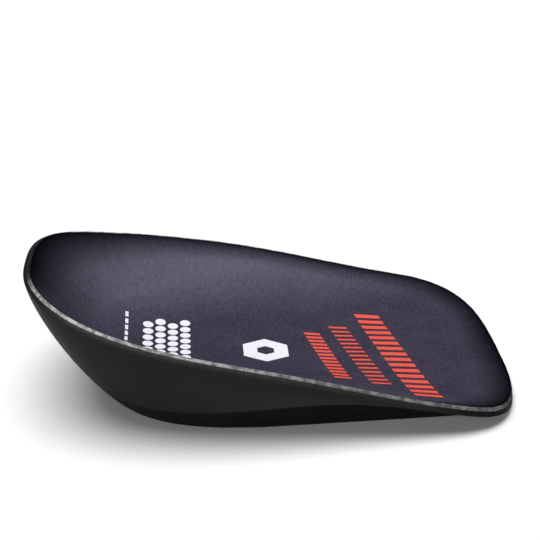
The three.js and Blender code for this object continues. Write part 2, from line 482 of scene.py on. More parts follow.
class Tree:
    """Adds nodes to a node tree and joins them."""

    def __init__(self, tree: bpy.types.NodeTree) -> None:
        """Starts on an empty tree."""
        self.tree = tree
        tree.nodes.clear()

    def give(self, node: bpy.types.Node, name: str | int, value: object) -> None:
        """Links a socket to a node's input, or sets the input's value.

        Args:
            node: The node.
            name: The input's name or number.
            value: A socket or a value.
        """
        if isinstance(value, Socket):
            self.tree.links.new(value, node.inputs[name])
        else:
            node.inputs[name].default_value = value

    def add(self, kind: str, inputs: dict | None = None, **settings: object) -> bpy.types.Node:
        """Adds a node.

        Args:
            kind: The node's type.
            inputs: Values or sockets for its inputs, by name or number.
            settings: The node's own settings.

        Returns:
            The node.
        """
        node = self.tree.nodes.new(kind)
        for name, value in settings.items():
            setattr(node, name, value)
        for name, value in (inputs or {}).items():
            self.give(node, name, value)
        return node

    def math(self, operation: str, first: object, second: object = 0.0) -> Socket:
        """Adds a Math node and returns its result."""
        return self.add("ShaderNodeMath", {0: first, 1: second}, operation=operation).outputs[0]


class ShapeTree(Tree):
    """A Geometry Nodes tree with named inputs and one result."""

    def __init__(self, name: str, inputs: dict[str, str], result: str) -> None:
        """Makes the tree and its sockets.

        Args:
            name: The tree's name.
            inputs: The kind of each input, by name.
            result: The result's name.
        """
        super().__init__(bpy.data.node_groups.new(name, "GeometryNodeTree"))
        face = self.tree.interface
        for label, kind in inputs.items():
            face.new_socket(label, in_out="INPUT", socket_type=f"NodeSocket{kind}")
        face.new_socket(result, in_out="OUTPUT", socket_type="NodeSocketGeometry")
        self.given = self.add("NodeGroupInput").outputs

    def vector_math(self, operation: str, first: object, second: object) -> Socket:
        """Adds a Vector Math node and returns its vector."""
        return self.add("ShaderNodeVectorMath", {0: first, 1: second}, operation=operation).outputs[0]

    def step(self, kind: str, shape: Socket, inputs: dict | None = None, **settings: object) -> Socket:
        """Adds a node that takes a shape first, and returns the shape that it gives."""
        return self.add(kind, {0: shape, **(inputs or {})}, **settings).outputs[0]

    def finish(self, shape: Socket, material: Socket) -> bpy.types.NodeTree:
        """Gives a shape its material and makes it the tree's result.

        Args:
            shape: The finished shape.
            material: Its material.

        Returns:
            The tree.
        """
        dressed = self.step("GeometryNodeSetMaterial", shape, {"Material": material})
        self.add("NodeGroupOutput", {0: dressed})
        return self.tree


@dataclass(frozen=True)
class Pattern:
    """A noise pattern: how many patches a metre, how many finer layers, and how strong they are."""

    per_metre: float
    layers: float = 2
    rough: float = 0.5


class SurfaceTree(Tree):
    """The node tree of a material with one Principled shader."""

    def __init__(self, name: str) -> None:
        """Makes the material and its shader.

        Args:
            name: The material's name.
        """
        self.material = bpy.data.materials.new(name)
        self.material.use_nodes = True
        super().__init__(self.material.node_tree)
        self.shader = self.add("ShaderNodeBsdfPrincipled")
        self.end = self.add("ShaderNodeOutputMaterial")
        self.output(self.shader.outputs[0])

    def output(self, shader: Socket) -> None:
        """Makes a shader the material's surface."""
        self.give(self.end, "Surface", shader)

    def set(self, **sockets: object) -> None:
        """Sets or links the shader's inputs, with underscores for the spaces in their names."""
        for name, value in sockets.items():
            self.give(self.shader, name.replace("_", " "), value)

    def coordinates(self, source: str, scale: tuple[float, float, float] = (1, 1, 1)) -> Socket:
        """A piece's own coordinates, Object or UV, in pattern units for each metre."""
        place = self.add("ShaderNodeTexCoord").outputs[source]
        return self.add("ShaderNodeMapping", {"Vector": place, "Scale": scale}).outputs[0]

    def attribute(self, name: str) -> Socket:
        """A value that was painted on the piece's points."""
        return self.add("ShaderNodeAttribute", attribute_name=name).outputs["Fac"]

    def noise(self, vector: Socket, pattern: Pattern) -> Socket:
        """A noise pattern's value."""
        names = {"Scale": pattern.per_metre, "Detail": pattern.layers, "Roughness": pattern.rough}
        return self.add("ShaderNodeTexNoise", {"Vector": vector, **names}).outputs["Fac"]

    def spread(self, value: Socket, ranges: Pairs) -> Socket:
        """Maps a value from the first range to the second, kept inside it.

        Args:
            value: The value.
            ranges: The start and the end of both ranges.

        Returns:
            The mapped value.
        """
        (low, high), (start, end) = ranges
        names = {"Value": value, "From Min": low, "From Max": high, "To Min": start, "To Max": end}
        return self.add("ShaderNodeMapRange", names, clamp=True).outputs[0]

    def blend(self, share: Socket, first: object, second: object) -> Socket:
        """Mixes two colours."""
        return self.add("ShaderNodeMix", {0: share, 6: first, 7: second}, data_type="RGBA").outputs[2]

    def bump(self, height: Socket, size: tuple[float, float], normal: Socket | None = None) -> Socket:
        """A bump from a height pattern.

        Args:
            height: The pattern.
            size: How deep it is, in metres, and how much of it shows.
            normal: Another bump that it lies on.

        Returns:
            The bumped normal.
        """
        depth, strength = size
        inputs = {"Height": height, "Distance": depth, "Strength": strength}
        if normal is not None:
            inputs["Normal"] = normal
        return self.add("ShaderNodeBump", inputs).outputs[0]


@dataclass(frozen=True)
class GelFinish:
    """Moulded black gel, a little smeared, with painted sheen in places and a painted highlight along the
    lip, mottled by noise.

    Values painted on the gel's points say where the painted sheen and the painted lip highlight lie.
    """

    name: str
    roughness: float
    smear: float
    gloss: float
    colour: Colour = (0.0055, 0.0055, 0.0058, 1)
    painted_sheen: Colour = (0.045, 0.045, 0.0455, 1)
    lip_highlight: Colour = (0.055, 0.055, 0.057, 1)
    lip_highlight_power: float = 1.6
    lip_highlight_roughness: float = 0.3
    smears_per_metre: tuple[float, float, float] = (70, 130, 130)
    smears: Pattern = Pattern(1, layers=5, rough=0.6)
    smeared: tuple[float, float] = (0.35, 0.75)
    patchy_sheen: Pairs = ((0.35, 0.65), (0.75, 1.15))
    highlight_mottle: Pattern = Pattern(700, layers=4, rough=0.7)
    highlight_mottled: Pairs = ((0.3, 0.7), (0.35, 1))
    grain: Pattern = Pattern(2600)
    grain_bump: tuple[float, float] = (0.012 * MM, 0.35)
    waves: Pattern = Pattern(90)
    wave_bump: tuple[float, float] = (0.12 * MM, 0.3)

    def build(self) -> bpy.types.Material:
        """Makes the material.

        Returns:
            The gel's material.
        """
        tree = SurfaceTree(self.name)
        place = tree.coordinates("Object")
        smears = tree.noise(tree.coordinates("Object", self.smears_per_metre), self.smears)
        grain = tree.noise(place, self.grain)
        waves = tree.noise(place, self.waves)
        highlight_mottle = tree.noise(place, self.highlight_mottle)
        # Painted highlight along the lip's upper edge, where the rounded lip would catch the light, mottled
        # by noise.
        lip = tree.math("POWER", tree.attribute("lip_highlight_share"), self.lip_highlight_power)
        lip_lit = tree.math("MULTIPLY", lip, tree.spread(highlight_mottle, self.highlight_mottled))
        # Painted sheen on the walls: lighter just above the crease towards the toe, darker painted shade on
        # the band below, broken into patches by the smears.
        patches = tree.spread(smears, self.patchy_sheen)
        sheened = tree.math("MULTIPLY", tree.attribute("sheen_share"), patches)
        colour = tree.blend(sheened, self.colour, self.painted_sheen)
        rough = tree.spread(smears, (self.smeared, (0, self.smear)))
        rough = tree.math("ADD", rough, self.roughness)
        tree.set(
            Base_Color=tree.blend(lip_lit, colour, self.lip_highlight),
            Roughness=tree.math("ADD", rough, tree.math("MULTIPLY", lip_lit, self.lip_highlight_roughness)),
            Specular_IOR_Level=self.gloss,
            Normal=tree.bump(grain, self.grain_bump, tree.bump(waves, self.wave_bump)),
        )
        return tree.material


class Gel(Enum):
    """The two faces of the moulding: satin walls, and a glossier sole."""

    WALL = GelFinish("satin_gel", roughness=0.42, smear=0.14, gloss=0.02)
    SOLE = GelFinish("glossy_gel", roughness=0.14, smear=0.16, gloss=0.5)


@dataclass(frozen=True)
class ClothFinish:
    """Violet-grey microfibre, with painted light that makes it paler up the walls on the lit side, and
    painted shade that darkens it at the rim.

    The cloth's wall slope and values painted on its points say where.
    """

    deep: Colour = (0.0315, 0.0272, 0.0435, 1)
    mid: Colour = (0.0527, 0.0452, 0.0715, 1)
    pale: Colour = (0.127, 0.118, 0.165, 1)
    # Near-black colour of the painted shade at the rim.
    rim: Colour = (0.0012, 0.0011, 0.0022, 1)
    wall_light: float = 0.8
    rim_shade: float = 0.98
    streaks_per_metre: tuple[float, float, float] = (1 / (0.5 * MM), 1 / (2 * MM), 1)
    streaks: Pattern = Pattern(1, layers=3, rough=0.6)
    streak_share: float = 0.4
    grain: Pattern = Pattern(1 / (0.5 * MM), layers=3, rough=0.65)
    grain_share: float = 0.38
    blotches: Pattern = Pattern(1 / (1.4 * MM))
    blotch_share: float = 0.22
    nap_tones: Pairs = ((0.4, 0.6), (0, 1))
    nap_bump: tuple[float, float] = (0.1 * MM, 0.7)
    wall_light_starts: tuple[float, float] = (0.02, 0.22)
    wall_light_ends: Pairs = ((0.42, 0.72), (1, 0))
    wall_light_nap: Pairs = ((0.38, 0.62), (0.66, 1.26))
    patches: Pattern = Pattern(120, layers=3)
    patch_tones: Pairs = ((0.4, 0.75), (0, 0.12))
    specks: Pattern = Pattern(1 / (0.8 * MM), layers=1)
    speck_tones: Pairs = ((0.71, 0.8), (0, 0.7))

    def build(self) -> bpy.types.Material:
        """Makes the material.

        Returns:
            The cloth's material.
        """
        tree = SurfaceTree("microfibre")
        flat = tree.coordinates("UV")
        along = tree.coordinates("UV", self.streaks_per_metre)
        streaks = tree.math("MULTIPLY", tree.noise(along, self.streaks), self.streak_share)
        grain = tree.math("MULTIPLY", tree.noise(flat, self.grain), self.grain_share)
        blotches = tree.math("MULTIPLY", tree.noise(flat, self.blotches), self.blotch_share)
        nap = tree.math("ADD", tree.math("ADD", streaks, grain), blotches)
        # Painted light: paler up the walls, most on the lit side, mottled by the nap. The pale colour also
        # serves the cloth's random patches and specks.
        slope = tree.attribute("wall_slope")
        risen = tree.spread(slope, (self.wall_light_starts, (0, self.wall_light)))
        wall_lit = tree.math("MULTIPLY", risen, tree.spread(slope, self.wall_light_ends))
        wall_lit = tree.math("MULTIPLY", wall_lit, tree.spread(nap, self.wall_light_nap))
        wall_lit = tree.math("MULTIPLY", wall_lit, tree.attribute("lit_side"))
        colour = tree.blend(tree.spread(nap, self.nap_tones), self.deep, self.mid)
        colour = tree.blend(wall_lit, colour, self.pale)
        patches = tree.spread(tree.noise(flat, self.patches), self.patch_tones)
        colour = tree.blend(patches, colour, self.pale)
        specks = tree.spread(tree.noise(flat, self.specks), self.speck_tones)
        colour = tree.blend(specks, colour, self.pale)
        # Painted shade that darkens the cloth towards its rim.
        rim_shaded = tree.math("MULTIPLY", tree.attribute("painted_rim_shade"), self.rim_shade)
        tree.set(
            Base_Color=tree.blend(rim_shaded, colour, self.rim),
            Roughness=0.9,
            Specular_IOR_Level=0,
            Normal=tree.bump(nap, self.nap_bump),
        )
        return tree.material


@dataclass(frozen=True)
class CutEdgeFinish:
    """The cloth's pale cut edge, with painted light and shade round the rim: brightest beside the heel,
    greyer towards the toe, and painted dark at the heel's tip and at the toe.

    A value painted on the cloth's points says how lit it is at each place.
    """

    thread: Colour = (1, 0.975, 0.95, 1)
    gap: Colour = (0.2, 0.19, 0.2, 1)
    fibres: Pattern = Pattern(1600, layers=4, rough=0.7)
    fibre_gaps: Pairs = ((0.46, 0.32), (0, 0.7))
    fibre_bump: tuple[float, float] = (0.15 * MM, 0.8)
    clumps: Pattern = Pattern(700, layers=3, rough=0.6)
    clump_gaps: Pairs = ((0.58, 0.42), (0, 0.72))

    def build(self) -> bpy.types.Material:
        """Makes the material.

        Returns:
            The cut edge's material.
        """
        tree = SurfaceTree("cut_edge")
        place = tree.coordinates("Object")
        # Painted light and shade along the cut edge, by place round the rim.
        edge_lit = tree.attribute("edge_light")
        tone = tree.blend(edge_lit, BLACK, self.thread)
        shade = tree.blend(edge_lit, BLACK, self.gap)
        fibres = tree.noise(place, self.fibres)
        clumps = tree.noise(place, self.clumps)
        tone = tree.blend(tree.spread(clumps, self.clump_gaps), tone, shade)
        tone = tree.blend(tree.spread(fibres, self.fibre_gaps), tone, shade)
        tree.set(
            Base_Color=tone,
            Roughness=0.95,
            Specular_IOR_Level=0.15,
            Sheen_Weight=0.02,
            Normal=tree.bump(fibres, self.fibre_bump),
        )
        return tree.material


@dataclass(frozen=True)
class InkFinish:
    """Screen-printed ink that shows a little of the nap."""

    name: str
    colour: Colour
    worn: Colour
    grain: Pattern = Pattern(3000, layers=3, rough=0.7)
    bare: Pairs = ((0.5, 0.36), (0, 0.6))
    grain_bump: tuple[float, float] = (0.05 * MM, 0.5)

    def build(self) -> bpy.types.Material:
        """Makes the material.

        Returns:
            The ink's material.
        """
        tree = SurfaceTree(self.name)
        grain = tree.noise(tree.coordinates("Object"), self.grain)
        tree.set(
            Base_Color=tree.blend(tree.spread(grain, self.bare), self.colour, self.worn),
            Roughness=0.6,
            Normal=tree.bump(grain, self.grain_bump),
        )
        return tree.material


class Ink(Enum):
    """The two inks printed on the cloth."""

    WHITE = InkFinish("white_ink", (0.86, 0.87, 0.95, 1), (0.5, 0.5, 0.6, 1))
    RED = InkFinish("red_ink", (0.85, 0.085, 0.05, 1), (0.4, 0.05, 0.045, 1))


@dataclass(frozen=True)
class FloorFinish:
    """The plain pale floor, which is clear from beneath so that the sole can be looked at."""

    colour: Colour = (0.9, 0.9, 0.9, 1)

    def build(self) -> bpy.types.Material:
        """Makes the material.

        Returns:
            The floor's material.
        """
        tree = SurfaceTree("pale_floor")
        tree.set(Base_Color=self.colour, Roughness=0.8, Specular_IOR_Level=0.1)
        beneath = tree.add("ShaderNodeNewGeometry").outputs["Backfacing"]
        clear = tree.add("ShaderNodeBsdfTransparent").outputs[0]
        sides = tree.add("ShaderNodeMixShader", {0: beneath, 1: tree.shader.outputs[0], 2: clear})
        tree.output(sides.outputs[0])
        return tree.material


@dataclass(frozen=True)
class SolePits:
    """The round pits in the sole: one pit's cell, repeated over the sole by Geometry Nodes."""

    diameter: float = 7.9 * MM
    web: float = 0.55 * MM
    depth: float = 0.8 * MM
    taper: float = 0.25 * MM
    heel_margin: float = 6.5 * MM
    stud_diameter: float = 3.6 * MM
    stud_recess: float = 0.15 * MM
    mouth_round: float = 0.14 * MM
    foot_round: float = 0.16 * MM
    channel_width: float = 1.3 * MM
    channel_depth: float = 0.45 * MM
    columns: int = 8
    rows: int = 5
    left_out: int = 2
    sides: int = 48
    round_steps: int = 3
    dome_steps: int = 5
    corner_reach: float = 1.06

    @property
    def pitch(self) -> float:
        """Distance from one pit's centre to the next."""
        return self.diameter + self.web

    def extent(self, shape: CupShape) -> tuple[float, float]:
        """Where the field of pits starts along the cup, and half its width."""
        start = shape.sole_heel_inset + self.heel_margin - shape.length / 2 - self.pitch / 2
        return start, self.rows * self.pitch / 2

    def profile(self) -> list[tuple[float, float]]:
        """Radius and height of a pit's rings, from its mouth to the top of its stud.

        Returns:
            The rings' radii and heights.
        """
        mouth, wall = self.diameter / 2, self.diameter / 2 - self.taper
        stud, lip, foot = self.stud_diameter / 2, self.mouth_round, self.foot_round
        turns = [math.pi / 2 * step / self.round_steps for step in range(self.round_steps + 1)]
        short = [(1 - math.sin(turn), 1 - math.cos(turn)) for turn in turns]
        rings = [(mouth + lip * first, lip * last) for first, last in short]
        rings += [(wall - foot * last, self.depth - foot * first) for first, last in short]
        rings += [(stud + foot * first, self.depth - foot * last) for first, last in short]
        low, high = self.depth - foot, self.stud_recess
        for step in range(1, self.dome_steps):
            angle = math.pi / 2 * step / self.dome_steps
            rings.append((stud * math.cos(angle), mix(low, high, math.sin(angle))))
        return rings

    def cell(self) -> bpy.types.Mesh:
        """One square cell of the sole with a pit in it.

        Returns:
            The cell's mesh.
        """
        angles = 2 * math.pi * np.arange(self.sides) / self.sides
        across = np.stack([np.cos(angles), np.sin(angles)], axis=-1)
        border = across * (self.pitch / 2 / np.abs(across).max(axis=1))[:, None]
        rings = [np.column_stack([border, np.zeros(self.sides)])]
        for radius, height in self.profile():
            rings.append(np.column_stack([across * radius, np.full(self.sides, height)]))
        points, quads = skin(rings)
        centre = len(points)
        points = np.vstack([points, [0, 0, self.stud_recess]])
        last = centre - self.sides
        caps = [(last + place, last + (place + 1) % self.sides, centre) for place in range(self.sides)]
        mesh = bpy.data.meshes.new("pit_cell")
        mesh.from_pydata(points.tolist(), [], [face[::-1] for face in [*quads, *caps]])
        return mesh

    def tree(self) -> bpy.types.NodeTree:
        """The Geometry Nodes tree that repeats a cell over rows and columns.

        Returns:
            The tree, with its sizes as named inputs.
        """
        inputs = {
            "Cell": "Geometry",
            "Pitch": "Float",
            "Columns": "Int",
            "Rows": "Int",
            "Left Out": "Int",
            "Centre": "Vector",
            "Gel": "Material",
        }
        tree = ShapeTree("repeat_pits", inputs, "Field")
        given, pitch = tree.given, tree.given["Pitch"]
        long = tree.math("MULTIPLY", tree.math("SUBTRACT", given["Columns"], 1.0), pitch)
        wide = tree.math("MULTIPLY", tree.math("SUBTRACT", given["Rows"], 1.0), pitch)
        sizes = {"Size X": long, "Size Y": wide, "Vertices X": given["Columns"], "Vertices Y": given["Rows"]}
        grid = tree.add("GeometryNodeMeshGrid", sizes).outputs["Mesh"]
        position = tree.add("GeometryNodeInputPosition").outputs[0]
        place = tree.add("ShaderNodeSeparateXYZ", {0: position}).outputs
        aside = tree.math("MULTIPLY", tree.math("ABSOLUTE", place[1]), 2.0)
        is_outer = tree.math("GREATER_THAN", aside, tree.math("SUBTRACT", wide, pitch))
        kept = tree.math("MULTIPLY", tree.math("SUBTRACT", given["Left Out"], 0.5), pitch)
        start = tree.math("SUBTRACT", kept, tree.math("MULTIPLY", long, 0.5))
        gone = tree.math("MULTIPLY", is_outer, tree.math("LESS_THAN", place[0], start))
        points = tree.step("GeometryNodeDeleteGeometry", grid, {"Selection": gone}, domain="POINT")
        laid = tree.step("GeometryNodeInstanceOnPoints", points, {"Instance": given["Cell"]})
        moved = tree.step("GeometryNodeTransform", laid, {"Translation": given["Centre"]})
        real = tree.step("GeometryNodeRealizeInstances", moved)
        merged = tree.step("GeometryNodeMergeByDistance", real, {"Distance": MERGE_WITHIN})
        return tree.finish(merged, given["Gel"])

    def build(self, shape: CupShape, gel: bpy.types.Material) -> bpy.types.Object:
        """Lays the pits out over the sole.

        Args:
            shape: The cup's shape, which says where the sole starts.
            gel: The gel's material.

        Returns:
            An object that holds the field of pits, open round its edge.
        """
        field = new_object("pit_field", self.cell())
        first = shape.sole_heel_inset + self.heel_margin - shape.length / 2
        centre = (first + (self.columns - 1) * self.pitch / 2, 0, 0)
        modifier = field.modifiers.new("repeat_pits", "NODES")
        modifier.node_group = self.tree()
        values = {
            "Pitch": self.pitch,
            "Columns": self.columns,
            "Rows": self.rows,
            "Left Out": self.left_out,
            "Centre": centre,
            "Gel": gel,
        }
        set_inputs(modifier, values)
        apply_modifiers(field)
        self.cut_channels(field.data, first)
        self.cut_corners(field.data, first)
        return field

    def cut_corners(self, mesh: bpy.types.Mesh, first: float) -> None:
        """Rounds the field's two corners at the heel, which would stick out past the sole's round end.

        Args:
            mesh: The field of pits.
            first: Where the first column's centre lies along the cup.
        """
        beside = (self.rows // 2 - 1) * self.pitch
        reach = self.pitch / 2 * self.corner_reach
        for vertex in mesh.vertices:
            side = math.copysign(beside, vertex.co.y)
            away = Vector((vertex.co.x - first, vertex.co.y - side, 0))
            outward = away.x < 0 and abs(vertex.co.y) > beside
            if outward and away.length > reach:
                vertex.co.x = first + away.x * reach / away.length
                vertex.co.y = side + away.y * reach / away.length

    def cut_channels(self, mesh: bpy.types.Mesh, first: float) -> None:
        """Lowers the web between neighbours across the sole to a short channel.

        Args:
            mesh: The field of pits.
            first: Where the first column's centre lies along the cup.
        """
        points = np.empty(3 * len(mesh.vertices))
        mesh.vertices.foreach_get("co", points)
        points = points.reshape(-1, 3)
        column = np.round((points[:, 0] - first) / self.pitch)
        aside = np.abs(points[:, 0] - first - column * self.pitch)
        webs = self.rows // 2 - 0.5
        web = np.clip(np.round(points[:, 1] / self.pitch - 0.5) + 0.5, -webs, webs)
        off = np.abs(points[:, 1] - web * self.pitch)
        joined = (np.abs(web) < webs) | (column >= self.left_out)
        near = joined & (off < self.web / 2 + self.taper + self.foot_round)
        ease = np.clip((self.channel_width - aside) / (self.channel_width / 2), 0, 1)
        depth = self.channel_depth * ease * near
        points[:, 2] = np.maximum(points[:, 2], depth)
        mesh.vertices.foreach_set("co", points.ravel())


def set_inputs(modifier: bpy.types.Modifier, values: dict) -> None:
    """Sets a Geometry Nodes modifier's inputs by the identifiers of its named sockets.

    Args:
        modifier: The modifier, with its tree.
        values: The inputs' values, by name.
    """
    for item in modifier.node_group.interface.items_tree:
        if item.item_type == "SOCKET" and item.in_out == "INPUT" and item.name in values:
            modifier[item.identifier] = values[item.name]


@dataclass(frozen=True)
class GelCup:
    """The moulded gel: bed, lip, outer wall and pitted sole, as one closed piece."""

    shape: CupShape
    pits: SolePits = SolePits()
    around: int = 360
    bed_rings: int = 26
    lip_rings: int = 4
    wall_rings: int = 34
    band_rings: int = 10
    sole_rings: int = 7
    bed_spread: float = 0.8
    wall_spread: float = 1.3
    sole_ring_steps: Pairs = ((0, 0.12 * MM), (0.06, 0.12 * MM), (0.14, 0.3 * MM))
    round_passes: int = 2
    bond: float = 0.01 * MM
    # Width of the painted highlight on the lip, and how it fades along the cup.
    lip_highlight_width: float = 1.7 * MM
    lip_highlight_fade: Pairs = ((0, 0), (0.04, 0.25), (0.1, 1), (0.5, 0.7), (0.8, 0.3), (1, 0.15))
    # Painted sheen on the gel: a base level, a low level for painted shade on the upright band, and its peak
    # above the crease along the cup.
    sheen_floor: float = 0.21
    sheen_band: float = 0.04
    sheen_power: float = 2.5
    sheen_peaks: Pairs = (
        (0, 0.14),
        (0.15, 0.26),
        (0.45, 0.55),
        (0.58, 0.8),
        (0.66, 1),
        (0.72, 0.8),
        (0.78, 0.2),
        (0.86, 0),
    )
    sole_facing: float = 0.9
    sole_reach: float = 0.05 * MM

    def in_pit(self, place: Vector) -> bool:
        """Whether a point lies in the pitted part of the sole.

        Args:
            place: The point.

        Returns:
            True inside the pits' field.
        """
        first, half = self.pits.extent(self.shape)
        last = first + self.pits.columns * self.pits.pitch
        low = place.z < self.pits.depth + MERGE_WITHIN
        return low and first < place.x < last and abs(place.y) < half and self.under(place)

    def under(self, place: Vector) -> bool:
        """Whether a point is inside the sole's outline, in plan.

        Args:
            place: The point.

        Returns:
            True under the sole.
        """
        shape = self.shape
        middle = (shape.sole_heel_inset - shape.sole_toe_inset) / 2
        long = (shape.length - shape.sole_heel_inset - shape.sole_toe_inset) / 2
        share = np.array([(place.x - middle) / long / 2 + 0.5])
        if not 0 < share[0] < 1:
            return False
        width = shape.width - 2 * shape.sole_side_inset
        return abs(place.y) < float(shape.sole_plan.half_width(width, share)[0]) - self.sole_reach

    def rings(self) -> list[np.ndarray]:
        """The rings of the cup's skin, from the middle of the bed to the flat of the sole.

        Returns:
            The rings in order.
        """
        shape = self.shape
        turn = shape.even_turns(self.around)
        shares = np.linspace(0, 1, self.bed_rings) ** self.bed_spread
        bed = [shape.under_cloth(turn, share, shape.cover_thickness + self.bond) for share in shares]
        edge, lip = bed[-1], shape.lip_edge(turn)
        outer = [edge]
        outer += [mix(edge, lip, step / self.lip_rings) for step in range(1, self.lip_rings + 1)]
        band = shape.band_share(turn)
        for step in range(1, self.wall_rings):
            down = (step / self.wall_rings) ** self.wall_spread
            outer.append(shape.wall_point(turn, mix(1, band, down)))
        for step in range(self.band_rings):
            outer.append(shape.wall_point(turn, band * (1 - step / self.band_rings)))
        foot = shape.sole_outline(turn)
        inwards = unit(shape.middle(turn) - foot)
        stations, steps = zip(*self.sole_ring_steps)
        inwards = inwards * np.interp(shape.station(turn), stations, steps)[:, None]
        outer += [foot + inwards * ring for ring in range(self.sole_rings)]
        return bed + soften(outer, self.round_passes)[1:]

    def lip_highlight_shares(self, rings: list[np.ndarray]) -> np.ndarray:
        """How much painted highlight each point of the rings gets: how near it is to the lip's upper edge,
        from 0 to 1 at the edge, faded along the cup.

        Args:
            rings: The rings of the cup's skin.

        Returns:
            A share for each point.
        """
        edge = rings[self.bed_rings - 1]
        away = np.linalg.norm(np.stack(rings) - edge[None], axis=-1)
        stations, fades = zip(*self.lip_highlight_fade)
        fade = np.interp(self.shape.station(self.shape.even_turns(self.around)), stations, fades)
        return (np.clip(1 - away / self.lip_highlight_width, 0, 1) * fade).ravel()

    def sheen_shares(self, rings: list[np.ndarray]) -> np.ndarray:
        """How much painted sheen each point of the rings gets: a painted highlight most just above the
        crease towards the toe, and painted shade on the upright band below it.

        Args:
            rings: The rings of the cup's skin.

        Returns:
            A share for each point.
        """
        stations, peaks = zip(*self.sheen_peaks)
        peak = np.interp(self.shape.station(self.shape.even_turns(self.around)), stations, peaks)
        floor = np.minimum(self.sheen_floor, peak)
        shares = np.tile(floor, (len(rings), 1))
        first = self.bed_rings + self.lip_rings
        for step in range(1, self.wall_rings):
            shares[first + step - 1] = mix(floor, peak, (step / self.wall_rings) ** self.sheen_power)
        crease = first + self.wall_rings - 1
        shares[crease : crease + self.band_rings] = self.sheen_band
        return shares.ravel()

    def build(self) -> bpy.types.Object:
        """Makes the gel cup.

        Returns:
            The closed gel piece.
        """
        wall, sole = Gel.WALL.value.build(), Gel.SOLE.value.build()
        rings = self.rings()
        points, quads = skin(rings)
        mesh = bpy.data.meshes.new("gel_skin")
        mesh.from_pydata(points.tolist(), [], quads)
        # Painted highlight along the lip.
        paint(mesh, "lip_highlight_share", self.lip_highlight_shares(rings))
        # Painted sheen above the crease and painted shade on the band.
        paint(mesh, "sheen_share", self.sheen_shares(rings))
        field = self.pits.build(self.shape, sole)
        work = bmesh.new()
        work.from_mesh(mesh)
        work.from_mesh(field.data)
        bpy.data.objects.remove(field)
        bmesh.ops.remove_doubles(work, verts=work.verts, dist=MERGE_WITHIN)
        bmesh.ops.dissolve_degenerate(work, dist=MERGE_WITHIN, edges=work.edges)
        rims = [edge for edge in work.edges if edge.is_boundary]
        bmesh.ops.triangle_fill(work, use_beauty=True, edges=rims, normal=(0, 0, -1))
        bmesh.ops.recalc_face_normals(work, faces=work.faces)
        for face in work.faces:
            face.smooth = True
            place = face.calc_center_median()
            in_sole = face.normal.z < -self.sole_facing and place.z < self.sole_reach
            face.material_index = int(in_sole or self.in_pit(place))
        work.to_mesh(mesh)
        work.free()
        piece = new_object("moulded_gel_cup", mesh, wall, sole)
        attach(piece, ROOT)
        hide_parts("gel_cup")
        return piece


